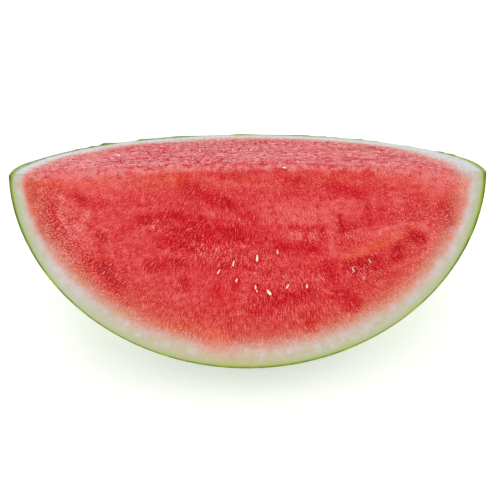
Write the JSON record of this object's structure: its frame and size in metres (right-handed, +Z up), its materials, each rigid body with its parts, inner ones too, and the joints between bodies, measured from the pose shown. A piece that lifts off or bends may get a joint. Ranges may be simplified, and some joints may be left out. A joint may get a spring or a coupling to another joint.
{
  "type": "watermelon wedge",
  "caption": "Quarter wedge of an oval seedless watermelon, cut lengthways, lying on its striped rind with its core edge up and both cut faces of red flesh showing.",
  "frame": {"origin": "middle of the small flat of the field spot that the wedge lies on, straight below the middle of the melon's axis", "axes": "+X along the core edge from stem end to blossom end, +Y towards the back cut face, +Z up; the front cut face looks to -Y and +Z"},
  "size_m": [0.2698, 0.1624, 0.1186],
  "materials": {
    "flesh": "moist, finely grained red flesh that pales to a cream and green rind at the rim of each cut",
    "skin": "waxy green skin with darker wandering stripes and a pale yellow field spot",
    "pip": "soft cream seed coats"
  },
  "bodies": {
    "root": {"watermelon_wedge": "flesh"}
  },
  "joints": []
}
